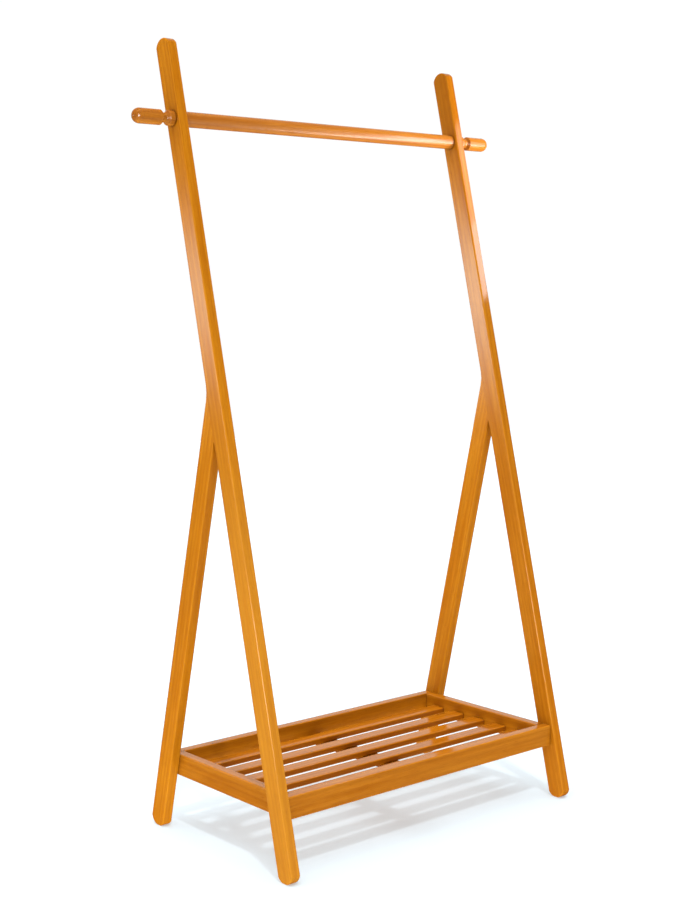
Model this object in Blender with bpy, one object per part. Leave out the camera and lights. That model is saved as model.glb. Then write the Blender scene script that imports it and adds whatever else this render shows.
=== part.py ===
"""A wooden clothes rack: two leaning side frames, a round hanging rail and a low slatted tray.

Metres, +Z up. X runs along the hanging rail, -Y is the front, and the origin is on the floor,
midway between the four feet. The posts rise from the front feet and lean back.
"""
import math

import bmesh
import bpy
from mathutils import Vector

# Side frames
HEIGHT = 1.600
FRAME_WIDTH = 0.778                  # outer face of one side frame to outer face of the other
BOARD = 0.022                        # thickness of the posts, legs and tray rails
BAR_DEPTH = 0.043                    # depth of a post or leg, square to its length
EDGE_ROUND = 0.003
POST_LEAN = math.radians(13.3)
LEG_LEAN = math.radians(13.5)
FOOT_SPREAD = 0.4228                 # centre of a front foot's rounding to that of the back foot
END_ROUND = 0.0235                   # radius of the rounded ends
FOOT_LAND = 0.012                    # length of the flat that each foot stands on
ROUND_FADE = 0.030                   # length over which a rounded edge dies out at the joint

# Hanging rail and its end pegs
RAIL_HEIGHT = 1.4415
RAIL_RADIUS = 0.0153
PEG_LENGTH = 0.0915                  # post's outer face to the tip of the dome
PEG_RADIUS = 0.0152
NECK_RADIUS = 0.0100
NECK_START = 0.0180
NECK_END = 0.0245
SHOULDER_END = 0.0305
BEAD_CREST = 0.0025                  # distance from the post at which the bead is widest
BEAD_LIP = 0.0008                    # how much smaller than its crest the bead is at the post
SHOULDER_BREAK = 0.0006              # eased corner where the cylinder starts
STUD_RADIUS = 0.004
STUD_IN_PEG = 0.026
STUD_IN_RAIL = 0.0185
INSERT_LENGTH = 0.020
INSERT_RADIUS = 0.006
WASHER_RADIUS = 0.009
WASHER_THICK = 0.0012
WASHER_STAND = 0.0001                # the washer's clearance from the flat face of the peg

# Tray
TRAY_BOTTOM = 0.113
TRAY_RAIL_HEIGHT = 0.045
TRAY_DEPTH = 0.394                   # front face to back face
SLAT_COUNT = 5
SLAT_WIDTH = 0.035
SLAT_THICK = 0.013
SLAT_PITCH = 0.066
SLAT_ROUND = 0.004
BRACE_ROUND = 0.00125
SLAT_TENON = (0.008, 0.025, 0.007)   # length, width, thickness
BRACE_WIDTH = 0.043
BRACE_THICK = 0.010
BRACE_TENON = (0.008, 0.030, 0.006)

# Dowels and screws
DOWEL_RADIUS = 0.004
DOWEL_CHAMFER = 0.001
JOINT_DOWEL_AT = (0.048, 0.076)      # distance down the glued face from its top
JOINT_DOWEL_DEPTH = 0.014            # into the leg, and into the post
TRAY_DOWEL_RISE = 0.012              # above and below the rail's middle
TRAY_DOWEL_IN_FRAME = 0.013
TRAY_DOWEL_IN_RAIL = 0.016
CORNER_DOWEL_DEPTH = 0.011
SCREW_RADIUS = 0.0016
SCREW_HEAD_RADIUS = 0.0036
SCREW_HEAD_DEPTH = 0.0022
SCREW_IN_SLAT = 0.0095
SCREW_SOCKET_RADIUS = 0.0014
SCREW_SOCKET_DEPTH = 0.0016

GAP = 0.0003                         # clearance between pieces that touch
ROUND_STEPS = 3
END_STEPS = 10
TURNED_STEPS = 32
SMALL_STEPS = 16
CURVE_STEPS = 8                      # along the bead and the dome of a peg
SOCKET_SIDES = 6
OVERCUT = 0.002                      # how far a cutter stands out of the face it cuts
SAME_POINT = 1e-6
SHARP_ANGLE = math.radians(35)
MITRE_LIMIT = 0.2                    # keeps the inset of a sharp corner's edge rounding finite

# Worked out from the driving dimensions
OUTER = FRAME_WIDTH / 2
INNER = OUTER - BOARD
FOOT_RISE = math.sqrt(END_ROUND ** 2 - (FOOT_LAND / 2) ** 2)
END_ANGLE = math.asin(BAR_DEPTH / 2 / END_ROUND)
LAND_ANGLE = math.asin(FOOT_LAND / 2 / END_ROUND)
POST_HALF = BAR_DEPTH / 2 / math.cos(POST_LEAN)
LEG_HALF = BAR_DEPTH / 2 / math.cos(LEG_LEAN)
TRAY_TOP = TRAY_BOTTOM + TRAY_RAIL_HEIGHT
TRAY_MIDDLE = TRAY_BOTTOM + TRAY_RAIL_HEIGHT / 2
RAIL_LINE = TRAY_DEPTH / 2 - BOARD / 2
TRAY_INSIDE = TRAY_DEPTH / 2 - BOARD
END_INSIDE = INNER - GAP - BOARD
BRACE_MIDDLE = TRAY_BOTTOM + BRACE_THICK / 2
SLAT_BOTTOM = TRAY_BOTTOM + BRACE_THICK + GAP
SLAT_MIDDLE = SLAT_BOTTOM + SLAT_THICK / 2

WOOD = (0.665, 0.245, 0.040)
TRAY_WOOD = (0.560, 0.205, 0.045)
PEG_WOOD = (0.610, 0.235, 0.070)
BEECH = (0.640, 0.420, 0.220)
STEEL = (0.620, 0.620, 0.600)
BRASS = (0.700, 0.500, 0.200)

LEFT = -1
RIGHT = 1
SIDES = ((LEFT, "left"), (RIGHT, "right"))
ENDS = ((-1, "front"), (1, "back"))


def clear_scene():
    for old in list(bpy.data.objects):
        bpy.data.objects.remove(old, do_unlink=True)


def finish(piece, colour, roughness=0.35, metallic=0.0):
    """Give the piece a material of its own."""
    material = bpy.data.materials.new(piece.name + "_finish")
    material.use_nodes = True
    shader = material.node_tree.nodes["Principled BSDF"]
    shader.inputs["Base Color"].default_value = (*colour, 1.0)
    shader.inputs["Roughness"].default_value = roughness
    shader.inputs["Metallic"].default_value = metallic
    piece.data.materials.append(material)
    return piece


def to_object(name, shape, location=(0, 0, 0), axis=None):
    """Turn a bmesh into an object whose local X points along the axis."""
    bmesh.ops.remove_doubles(shape, verts=shape.verts, dist=SAME_POINT)
    bmesh.ops.recalc_face_normals(shape, faces=shape.faces)
    mesh = bpy.data.meshes.new(name)
    shape.to_mesh(mesh)
    shape.free()
    mesh.shade_smooth()
    mesh.set_sharp_from_angle(angle=SHARP_ANGLE)
    piece = bpy.data.objects.new(name, mesh)
    bpy.context.collection.objects.link(piece)
    piece.location = location
    if axis is not None:
        piece.rotation_euler = Vector(axis).to_track_quat("X", "Z").to_euler()
    return piece


def board_shape(size, along, rounding, centre=(0, 0, 0)):
    """A box whose edges along one axis (0, 1 or 2) are rounded."""
    shape = bmesh.new()
    bmesh.ops.create_cube(shape, size=1.0)
    bmesh.ops.scale(shape, vec=size, verts=shape.verts)
    if rounding:
        long_edges = []
        for edge in shape.edges:
            run = edge.verts[1].co - edge.verts[0].co
            if abs(run[along]) > SAME_POINT:
                long_edges.append(edge)
        bmesh.ops.bevel(shape, geom=long_edges, offset=rounding, segments=ROUND_STEPS,
                        profile=0.5, affect="EDGES")
    bmesh.ops.translate(shape, vec=centre, verts=shape.verts)
    return shape


def turned_shape(profile, steps):
    """Spin a profile of (distance along X, radius) about the X axis."""
    shape = bmesh.new()
    points = [shape.verts.new((along, 0, radius)) for along, radius in profile]
    for first, second in zip(points, points[1:]):
        shape.edges.new((first, second))
    bmesh.ops.spin(shape, geom=shape.verts[:] + shape.edges[:], cent=(0, 0, 0), axis=(1, 0, 0),
                   angle=2 * math.pi, steps=steps, use_merge=True)
    return shape


def turned(name, profile, location, axis, steps=TURNED_STEPS):
    return to_object(name, turned_shape(profile, steps), location, axis)


def hide_cutter(cutter):
    cutter.hide_render = True
    cutter.display_type = "WIRE"
    return cutter


def combine(piece, cutter, operation):
    """Cut the cutter out of the piece, or join it on."""
    hide_cutter(cutter)
    modifier = piece.modifiers.new(cutter.name, "BOOLEAN")
    modifier.operation = operation
    modifier.object = cutter


def bore(piece, label, radius, start, axis, depth, steps=SMALL_STEPS):
    """A round hole into the piece, from a point on its face along the axis."""
    profile = [(-OVERCUT, 0), (-OVERCUT, radius), (depth, radius), (depth, 0)]
    combine(piece, turned(f"cut_{piece.name}_{label}", profile, start, axis, steps), "DIFFERENCE")


def pocket(piece, label, size, centre):
    """A square-cut mortise."""
    cutter = to_object(f"cut_{piece.name}_{label}", board_shape(size, 0, 0), centre)
    combine(piece, cutter, "DIFFERENCE")


def add_tenon(piece, size):
    """A bar through the piece's middle whose ends stand out as tenons."""
    tenon = to_object(f"join_{piece.name}_tenon", board_shape(size, 0, 0), piece.location)
    combine(piece, tenon, "UNION")


def bar_shape(outline, side):
    """A board on edge in a YZ plane. Its outline is (y, z, edge rounding), anticlockwise from +X."""
    count = len(outline)
    centre = side * (OUTER - BOARD / 2)
    insets = []
    for index in range(count):
        before = Vector(outline[index - 1][:2])
        here = Vector(outline[index][:2])
        after = Vector(outline[(index + 1) % count][:2])
        into = (here - before).normalized()
        out = (after - here).normalized()
        first = Vector((-into.y, into.x))
        second = Vector((-out.y, out.x))
        middle = (first + second).normalized()
        insets.append(middle / max(middle.dot(first), MITRE_LIMIT))
    angles = [math.pi / 2 * step / ROUND_STEPS for step in range(ROUND_STEPS + 1)]
    rings = [(-1, angle) for angle in reversed(angles)] + [(1, angle) for angle in angles]
    shape = bmesh.new()
    rows = []
    for face, angle in rings:
        row = []
        for (y, z, rounding), inset in zip(outline, insets):
            move = inset * rounding * (1 - math.cos(angle))
            across = BOARD / 2 - rounding * (1 - math.sin(angle))
            row.append(shape.verts.new((centre + face * across, y + move.x, z + move.y)))
        rows.append(row)
    for low, high in zip(rows, rows[1:]):
        for index in range(count):
            after = (index + 1) % count
            shape.faces.new((low[index], low[after], high[after], high[index]))
    shape.faces.new(rows[0])
    shape.faces.new(rows[-1])
    return shape


def arc(centre, start, end, upwards, steps=END_STEPS):
    """Points of a rounded end. Angles are measured from straight up or straight down, towards +Y."""
    points = []
    for step in range(steps + 1):
        angle = start + (end - start) * step / steps
        rise = math.cos(angle) if upwards else -math.cos(angle)
        points.append((centre[0] + END_ROUND * math.sin(angle), centre[1] + END_ROUND * rise,
                       EDGE_ROUND))
    return points


FRONT_FOOT = (-FOOT_SPREAD / 2, FOOT_RISE)
BACK_FOOT = (FOOT_SPREAD / 2, FOOT_RISE)


def post_middle(z):
    return FRONT_FOOT[0] + math.tan(POST_LEAN) * (z - FRONT_FOOT[1])


def leg_middle(z):
    return BACK_FOOT[0] - math.tan(LEG_LEAN) * (z - BACK_FOOT[1])


def glued_face(z):
    """Where the leg's cut face lies, a hair behind the post's back face."""
    return post_middle(z) + POST_HALF + GAP / math.cos(POST_LEAN)


def meet(leg_offset):
    """Height at which a line of the leg meets the glued face."""
    slope = math.tan(POST_LEAN) + math.tan(LEG_LEAN)
    return (leg_middle(0) + leg_offset - glued_face(0)) / slope


JOINT_TOP = meet(LEG_HALF)
JOINT_CROTCH = meet(-LEG_HALF)


def make_post(side, name):
    top = (post_middle(HEIGHT - END_ROUND), HEIGHT - END_ROUND)
    outline = arc(FRONT_FOOT, -POST_LEAN - END_ANGLE, -LAND_ANGLE, False)
    outline += arc(FRONT_FOOT, LAND_ANGLE, -POST_LEAN + END_ANGLE, False, END_STEPS // 2)
    stops = ((JOINT_CROTCH - ROUND_FADE, EDGE_ROUND), (JOINT_CROTCH, 0),
             (JOINT_TOP, 0), (JOINT_TOP + ROUND_FADE / 2, EDGE_ROUND))
    for z, rounding in stops:
        outline.append((post_middle(z) + POST_HALF, z, rounding))
    outline += arc(top, POST_LEAN + END_ANGLE, POST_LEAN - END_ANGLE, True)
    post = finish(to_object(f"{name}_post", bar_shape(outline, side)), WOOD)

    through = (side * OUTER, post_middle(RAIL_HEIGHT), RAIL_HEIGHT)
    bore(post, "stud", STUD_RADIUS + GAP, through, (-side, 0, 0), BOARD + OVERCUT)
    for label, at, into in joint_dowels(side):
        bore(post, f"joint_{label}", DOWEL_RADIUS + GAP, at, -into, JOINT_DOWEL_DEPTH + GAP)
    for label, at in tray_dowels(side, -1):
        bore(post, f"tray_{label}", DOWEL_RADIUS + GAP, at, (side, 0, 0), TRAY_DOWEL_IN_FRAME + GAP)
    return post


def make_leg(side, name):
    outline = arc(BACK_FOOT, LEG_LEAN - END_ANGLE, -LAND_ANGLE, False, END_STEPS // 2)
    outline += arc(BACK_FOOT, LAND_ANGLE, LEG_LEAN + END_ANGLE, False)
    fade_top = JOINT_TOP - ROUND_FADE / 2
    fade_front = JOINT_CROTCH - ROUND_FADE
    outline.append((leg_middle(fade_top) + LEG_HALF, fade_top, EDGE_ROUND))
    outline.append((glued_face(JOINT_TOP), JOINT_TOP, 0))
    outline.append((glued_face(JOINT_CROTCH), JOINT_CROTCH, 0))
    outline.append((leg_middle(fade_front) - LEG_HALF, fade_front, EDGE_ROUND))
    leg = finish(to_object(f"{name}_back_leg", bar_shape(outline, side)), WOOD)

    for label, at, into in joint_dowels(side):
        bore(leg, f"joint_{label}", DOWEL_RADIUS + GAP, at, into, JOINT_DOWEL_DEPTH + GAP)
    for label, at in tray_dowels(side, 1):
        bore(leg, f"tray_{label}", DOWEL_RADIUS + GAP, at, (side, 0, 0), TRAY_DOWEL_IN_FRAME + GAP)
    return leg


def joint_dowels(side):
    """Label, place on the glued face and direction into the leg of each dowel of the joint."""
    into = Vector((0, math.cos(POST_LEAN), -math.sin(POST_LEAN)))
    places = []
    for index, down in enumerate(JOINT_DOWEL_AT):
        z = JOINT_TOP - down * math.cos(POST_LEAN)
        places.append((index + 1, Vector((side * (OUTER - BOARD / 2), glued_face(z), z)), into))
    return places


def tray_dowels(side, end):
    """Label and place of the two dowels that hold a corner of the tray to its post or leg."""
    places = []
    for index, rise in enumerate((-TRAY_DOWEL_RISE, TRAY_DOWEL_RISE)):
        places.append((index + 1, (side * INNER, end * RAIL_LINE, TRAY_MIDDLE + rise)))
    return places


def dowel(name, middle, axis, before, after):
    """A chamfered dowel that reaches before and after a point along the axis."""
    end_radius = DOWEL_RADIUS - DOWEL_CHAMFER
    profile = [(-before, 0), (-before, end_radius), (DOWEL_CHAMFER - before, DOWEL_RADIUS),
               (after - DOWEL_CHAMFER, DOWEL_RADIUS), (after, end_radius), (after, 0)]
    return finish(turned(name, profile, middle, axis, SMALL_STEPS), BEECH, 0.6)


def make_frame_dowels(side, name):
    for label, at, into in joint_dowels(side):
        dowel(f"{name}_joint_dowel_{label}", at, into, JOINT_DOWEL_DEPTH - GAP,
              JOINT_DOWEL_DEPTH - GAP)
    for end, end_name in ENDS:
        for label, at in tray_dowels(side, end):
            dowel(f"{name}_{end_name}_tray_dowel_{label}", at, (side, 0, 0), TRAY_DOWEL_IN_RAIL,
                  TRAY_DOWEL_IN_FRAME)


def make_hanging_rail():
    half = INNER - GAP
    profile = [(-half, 0), (-half, RAIL_RADIUS), (half, RAIL_RADIUS), (half, 0)]
    place = Vector((0, post_middle(RAIL_HEIGHT), RAIL_HEIGHT))
    rail = finish(turned("hanging_rail", profile, place, (1, 0, 0)), PEG_WOOD)
    for side, name in SIDES:
        end = place + Vector((side * half, 0, 0))
        inwards = (-side, 0, 0)
        bore(rail, f"{name}_insert", INSERT_RADIUS + GAP, end, inwards, INSERT_LENGTH + GAP)
        bore(rail, f"{name}_relief", STUD_RADIUS + GAP, end, inwards, INSERT_LENGTH + 3 * OVERCUT)
    return rail


def peg_profile():
    """Bead, neck, shoulder, cylinder and dome, with the stud's bore and the washer's recess."""
    recess = WASHER_THICK + 2 * GAP
    profile = [(STUD_IN_PEG + GAP, 0), (STUD_IN_PEG + GAP, STUD_RADIUS + GAP),
               (recess, STUD_RADIUS + GAP), (recess, WASHER_RADIUS + GAP), (0, WASHER_RADIUS + GAP),
               (0, PEG_RADIUS - BEAD_LIP), (BEAD_CREST / 3, PEG_RADIUS - BEAD_LIP / 4)]
    for step in range(CURVE_STEPS + 1):
        angle = math.pi / 2 * step / CURVE_STEPS
        along = BEAD_CREST + (NECK_START - BEAD_CREST) * math.sin(angle)
        radius = NECK_RADIUS + (PEG_RADIUS - NECK_RADIUS) * math.cos(angle)
        profile.append((along, radius))
    profile += [(NECK_END, NECK_RADIUS),
                (SHOULDER_END - SHOULDER_BREAK, PEG_RADIUS - SHOULDER_BREAK),
                (SHOULDER_END + SHOULDER_BREAK, PEG_RADIUS)]
    dome_start = PEG_LENGTH - PEG_RADIUS
    for step in range(CURVE_STEPS + 1):
        angle = math.pi / 2 * step / CURVE_STEPS
        radius = PEG_RADIUS * math.cos(angle) if step < CURVE_STEPS else 0
        profile.append((dome_start + PEG_RADIUS * math.sin(angle), radius))
    return profile


def make_peg(side, name):
    """The peg, its stud, the washer let into its face, and the insert in the rail's end."""
    outwards = (side, 0, 0)
    axis_y = post_middle(RAIL_HEIGHT)
    face = (side * (OUTER + GAP), axis_y, RAIL_HEIGHT)
    finish(turned(f"{name}_peg", peg_profile(), face, outwards), PEG_WOOD)

    reach = GAP + BOARD + STUD_IN_RAIL
    tip = STUD_RADIUS / 4
    stud = [(-reach, 0), (-reach, STUD_RADIUS - tip), (tip - reach, STUD_RADIUS),
            (STUD_IN_PEG - tip, STUD_RADIUS), (STUD_IN_PEG, STUD_RADIUS - tip), (STUD_IN_PEG, 0)]
    finish(turned(f"{name}_peg_stud", stud, face, outwards, SMALL_STEPS), STEEL, 0.3, 1.0)

    inner = STUD_RADIUS + GAP
    top = WASHER_STAND + WASHER_THICK
    ring = [(WASHER_STAND, inner), (WASHER_STAND, WASHER_RADIUS), (top, WASHER_RADIUS),
            (top, inner), (WASHER_STAND, inner)]
    finish(turned(f"{name}_peg_washer", ring, face, outwards), STEEL, 0.35, 1.0)

    sleeve = [(0, inner), (0, INSERT_RADIUS), (INSERT_LENGTH, INSERT_RADIUS),
              (INSERT_LENGTH, inner), (0, inner)]
    mouth = (side * (INNER - GAP), axis_y, RAIL_HEIGHT)
    finish(turned(f"{name}_rail_insert", sleeve, mouth, (-side, 0, 0), SMALL_STEPS), BRASS, 0.3, 1.0)


def slat_line(index):
    """Y of a slat's middle, counted from the back."""
    return SLAT_PITCH * ((SLAT_COUNT - 1) / 2 - index)


def make_long_rail(end, end_name):
    """The tray's front or back rail, with its dowel holes and the brace's mortise."""
    size = (2 * (INNER - GAP), BOARD, TRAY_RAIL_HEIGHT)
    place = (0, end * RAIL_LINE, TRAY_MIDDLE)
    shape = board_shape(size, 0, EDGE_ROUND)
    rail = finish(to_object(f"tray_{end_name}_rail", shape, place), TRAY_WOOD)
    for side, name in SIDES:
        for label, at in tray_dowels(side, end):
            bore(rail, f"{name}_{label}", DOWEL_RADIUS + GAP, at, (-side, 0, 0),
                 TRAY_DOWEL_IN_RAIL + GAP)
        corner = (side * (END_INSIDE + BOARD / 2), end * TRAY_INSIDE, TRAY_MIDDLE)
        bore(rail, f"{name}_corner", DOWEL_RADIUS + GAP, corner, (0, end, 0),
             CORNER_DOWEL_DEPTH + GAP)
    length, width, thick = BRACE_TENON
    cut = (width + 2 * GAP, length + GAP + OVERCUT, thick + 2 * GAP)
    middle = (0, end * (TRAY_INSIDE + (length + GAP - OVERCUT) / 2), BRACE_MIDDLE)
    pocket(rail, "brace", cut, middle)


def make_end_rail(side, name):
    """The tray's left or right rail, between the long rails, with a mortise for each slat."""
    length = 2 * (TRAY_INSIDE - GAP)
    place = (side * (END_INSIDE + BOARD / 2), 0, TRAY_MIDDLE)
    shape = board_shape((BOARD, length, TRAY_RAIL_HEIGHT), 1, EDGE_ROUND)
    rail = finish(to_object(f"tray_{name}_rail", shape, place), TRAY_WOOD)
    for end, end_name in ENDS:
        at = (place[0], end * length / 2, TRAY_MIDDLE)
        bore(rail, f"{end_name}_corner", DOWEL_RADIUS + GAP, at, (0, -end, 0),
             CORNER_DOWEL_DEPTH + GAP)
        middle = (place[0], end * TRAY_INSIDE, TRAY_MIDDLE)
        dowel(f"{name}_{end_name}_corner_dowel", middle, (0, end, 0), CORNER_DOWEL_DEPTH - GAP,
              CORNER_DOWEL_DEPTH)
    depth, width, thick = SLAT_TENON
    cut = (depth + GAP + OVERCUT, width + 2 * GAP, thick + 2 * GAP)
    for index in range(SLAT_COUNT):
        middle = (side * (END_INSIDE + (depth + GAP - OVERCUT) / 2), slat_line(index), SLAT_MIDDLE)
        pocket(rail, f"slat_{index + 1}", cut, middle)


def make_slats():
    half = END_INSIDE - GAP
    tenon, tenon_width, tenon_thick = SLAT_TENON
    for index in range(SLAT_COUNT):
        place = (0, slat_line(index), SLAT_MIDDLE)
        shape = board_shape((2 * half, SLAT_WIDTH, SLAT_THICK), 0, SLAT_ROUND)
        slat = finish(to_object(f"slat_{index + 1}", shape, place), TRAY_WOOD)
        add_tenon(slat, (2 * (half + tenon), tenon_width, tenon_thick))
        bore(slat, "screw", SCREW_RADIUS + GAP, (0, slat_line(index), SLAT_BOTTOM), (0, 0, 1),
             SCREW_IN_SLAT + GAP)


def make_brace():
    """The batten under the slats, with a countersunk hole below each of them."""
    half = TRAY_INSIDE - GAP
    tenon, tenon_width, tenon_thick = BRACE_TENON
    shape = board_shape((BRACE_WIDTH, 2 * half, BRACE_THICK), 1, BRACE_ROUND)
    brace = finish(to_object("slat_brace", shape, (0, 0, BRACE_MIDDLE)), TRAY_WOOD)
    add_tenon(brace, (tenon_width, 2 * (half + tenon), tenon_thick))
    shank = SCREW_RADIUS + GAP
    head = SCREW_HEAD_RADIUS + GAP
    sink = [(-OVERCUT, 0), (-OVERCUT, head), (GAP, head), (GAP + SCREW_HEAD_DEPTH, shank),
            (BRACE_THICK + OVERCUT, shank), (BRACE_THICK + OVERCUT, 0)]
    for index in range(SLAT_COUNT):
        place = (0, slat_line(index), TRAY_BOTTOM)
        cutter = turned(f"cut_slat_brace_{index + 1}", sink, place, (0, 0, 1), SMALL_STEPS)
        combine(brace, cutter, "DIFFERENCE")
        make_screw(index)


def make_screw(index):
    """A countersunk screw, driven up through the brace into a slat."""
    length = BRACE_THICK + GAP + SCREW_IN_SLAT
    point = SCREW_RADIUS * 2
    profile = [(GAP, 0), (GAP, SCREW_HEAD_RADIUS), (GAP + SCREW_HEAD_DEPTH, SCREW_RADIUS),
               (length - point, SCREW_RADIUS), (length, SCREW_RADIUS / 4), (length, 0)]
    place = (0, slat_line(index), TRAY_BOTTOM)
    screw = turned(f"slat_screw_{index + 1}", profile, place, (0, 0, 1), SMALL_STEPS)
    finish(screw, STEEL, 0.3, 1.0)
    bore(screw, "socket", SCREW_SOCKET_RADIUS, place, (0, 0, 1), GAP + SCREW_SOCKET_DEPTH,
         SOCKET_SIDES)


def main():
    clear_scene()
    for side, name in SIDES:
        make_post(side, name)
        make_leg(side, name)
        make_frame_dowels(side, name)
        make_peg(side, name)
        make_end_rail(side, name)
    make_hanging_rail()
    for end, end_name in ENDS:
        make_long_rail(end, end_name)
    make_slats()
    make_brace()


main()
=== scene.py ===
"""The looks of a wooden clothes rack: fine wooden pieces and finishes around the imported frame."""
import math

import bmesh
import bpy
from mathutils import Matrix, Vector


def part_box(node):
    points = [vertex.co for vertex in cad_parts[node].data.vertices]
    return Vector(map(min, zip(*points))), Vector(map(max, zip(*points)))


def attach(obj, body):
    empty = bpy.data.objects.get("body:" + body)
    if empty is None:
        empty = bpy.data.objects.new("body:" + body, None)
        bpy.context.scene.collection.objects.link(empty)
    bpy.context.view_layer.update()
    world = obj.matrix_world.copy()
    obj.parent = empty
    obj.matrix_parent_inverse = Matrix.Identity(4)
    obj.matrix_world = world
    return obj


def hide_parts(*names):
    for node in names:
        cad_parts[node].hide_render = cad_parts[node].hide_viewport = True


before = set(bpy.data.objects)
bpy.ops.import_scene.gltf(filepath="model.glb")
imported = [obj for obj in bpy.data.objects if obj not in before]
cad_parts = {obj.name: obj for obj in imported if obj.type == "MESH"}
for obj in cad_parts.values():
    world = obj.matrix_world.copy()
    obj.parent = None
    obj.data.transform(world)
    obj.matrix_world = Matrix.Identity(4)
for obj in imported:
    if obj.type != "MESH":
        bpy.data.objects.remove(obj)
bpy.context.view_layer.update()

# Camera
CAMERA_PLACE = (-2.0853, -2.3771, 1.0986)
CAMERA_HEADING = math.radians(-40.537)
CAMERA_TILT = math.radians(-5.262)
CAMERA_ROLL = math.radians(-0.171)
CAMERA_LENS = 60.70
CAMERA_SENSOR = 36.0
CAMERA_SHIFT = (-0.00093, -0.01764)

# Side frames
POST_LEAN = math.radians(13.3)
LEG_LEAN = math.radians(13.5)
BAR_DEPTH = 0.043
HALF_DEPTH = BAR_DEPTH / 2
END_ROUND = 0.0235
FOOT_LAND = 0.012
FOOT_SPREAD = 0.4228
FOOT_RISE = math.sqrt(END_ROUND ** 2 - (FOOT_LAND / 2) ** 2)
END_ANGLE = math.asin(HALF_DEPTH / END_ROUND)
LAND_ANGLE = math.asin(FOOT_LAND / 2 / END_ROUND)
EDGE_ROUND = 0.003
ROUND_FADE = 0.030
SEAM = 0.00001                       # how far a glued face is pressed into its neighbour

# Tray
SLATS = 5
SLAT_ROUND = 0.004
BRACE_ROUND = 0.00125

# Turned pieces
RAIL_RADIUS = 0.0153
PEG_RADIUS = 0.0152
PEG_LENGTH = 0.0915
NECK_RADIUS = 0.0097
BEAD_LENGTH = 0.0100
BEAD_TURN = 0.0046                   # radius of the bead's outer edge
FLANK_SLOPE = math.radians(42)
COVE_RADIUS = 0.0030
NECK_END = 0.0245
SHOULDER_END = 0.0305
BEAD_CREST = 0.0025
BEAD_LIP = 0.0008
STUD_RADIUS = 0.004
THREAD_PITCH = 0.00125
THREAD_DEPTH = 0.0007
STUD_CHAMFER = 0.001
RUNNING_GAP = 0.0003
WASHER_RADIUS = 0.009
WASHER_RECESS = 0.0018
STUD_BORE_DEPTH = 0.0263
INSERT_RADIUS = 0.006
INSERT_BORE_DEPTH = 0.0203

# Smoothness
ROUND_STEPS = 8
END_STEPS = 28
TURNED_STEPS = 96
HOLE_STEPS = 32
CURVE_STEPS = 20
THREAD_STEPS = 24
STEPS_PER_TURN = 8
SHARP_ANGLE = math.radians(40)
SAME_POINT = 1e-6
MITRE_LIMIT = 0.2

# Stains: each has a dark, a middle and a pale tone. Some are lighter or darker copies that carry
# painted light or shade, as marked.
HONEY = ((0.250, 0.056, 0.0010), (0.475, 0.148, 0.0024), (0.590, 0.224, 0.009))
AMBER = ((0.175, 0.037, 0.0008), (0.375, 0.107, 0.0016), (0.490, 0.168, 0.006))
# Painted shade: a darker copy of the honey stain, for the right post
SHADED_HONEY = ((0.225, 0.048, 0.0010), (0.425, 0.128, 0.0024), (0.540, 0.199, 0.009))
# Painted light: a lighter copy of the amber stain, for the tray's front and left rails
LIT_AMBER = ((0.195, 0.044, 0.0015), (0.420, 0.130, 0.0040), (0.545, 0.200, 0.012))
TURNED = ((0.210, 0.047, 0.0030), (0.420, 0.128, 0.0085), (0.560, 0.206, 0.024))
# Painted reflection: the paler tone of the left post low down
FLOOR_REFLECTION_TONE = (0.546, 0.282, 0.042)

# Grain: a pattern is its scale a metre, its detail and its roughness
GRAIN_SQUEEZE = 0.045                # how much a pattern is drawn out along the grain
BLOTCH_SQUEEZE = 0.22
SEED_STEP = (0.37, 0.53, 0.71)
STREAKS = (95.0, 4.0, 0.6)
FIBRES = (520.0, 3.0, 0.65)
PORES = (1500.0, 1.0, 0.4)
BLOTCHES = (11.0, 3.0, 0.55)
LACQUER_WAVES = (130.0, 2.0)
STREAK_STOPS = ((0.30, 0.0), (0.72, 1.0))
RING_STOPS = ((0.0, 0.30), (0.75, 0.02), (1.0, 0.16))
BLOTCH_STOPS = ((0.34, 0.30), (0.66, 0.0))
FIBRE_STOPS = ((0.30, 0.28), (0.62, 0.0))
PORE_STOPS = ((0.26, 0.55), (0.36, 0.0))
END_GRAIN_STOPS = ((0.45, 0.0), (1.0, 0.55))
RUBBED_STOPS = ((0.2, 0.0), (1.0, 0.35))
WOOD_ROUGHNESS = ((0.2, 0.56), (0.8, 0.42))
FIBRE_RELIEF = (0.25, 0.0002)        # a relief is its strength and its height
LACQUER_RELIEF = (0.12, 0.0006)
LACQUER_IOR = 1.50
BOARD_SHEEN = 0.12
TURNED_SHEEN = 0.27
PEG_SHEEN = 0.16

# Painted shade and a painted reflection: where, and how deep
JOINT_SHADE_REACH = 0.0045                      # how far the painted shade at a joint reaches
JOINT_SHADE_DEPTH = 0.60
JOINT_SHADE_TONE = 0.6                    # its tone, as a share of the dark tone
# Painted shade on the right post, deepening towards its top
TOP_SHADE_HEIGHTS = (1.32, 1.50)
TOP_SHADE_DEPTHS = (0.0, 0.22)
# Painted reflection, paler low on the left post
FLOOR_REFLECTION_HEIGHTS = (0.55, 0.90)
FLOOR_REFLECTION_DEPTHS = (0.20, 0.0)
# Painted shade on the sides of the slats and the brace
SIDE_SHADE_SLOPES = (0.30, 0.85)
SIDE_SHADE_DEPTHS = (0.75, 0.0)

# Which grain a piece gets
POST_SEED = 3
LEG_SEED = 8
RAIL_SEED = 12
PEG_SEED = 15
TRAY_SEED = 20
TRAY_END_SEED = 24
SLAT_SEED = 30
BRACE_SEED = 40

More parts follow.
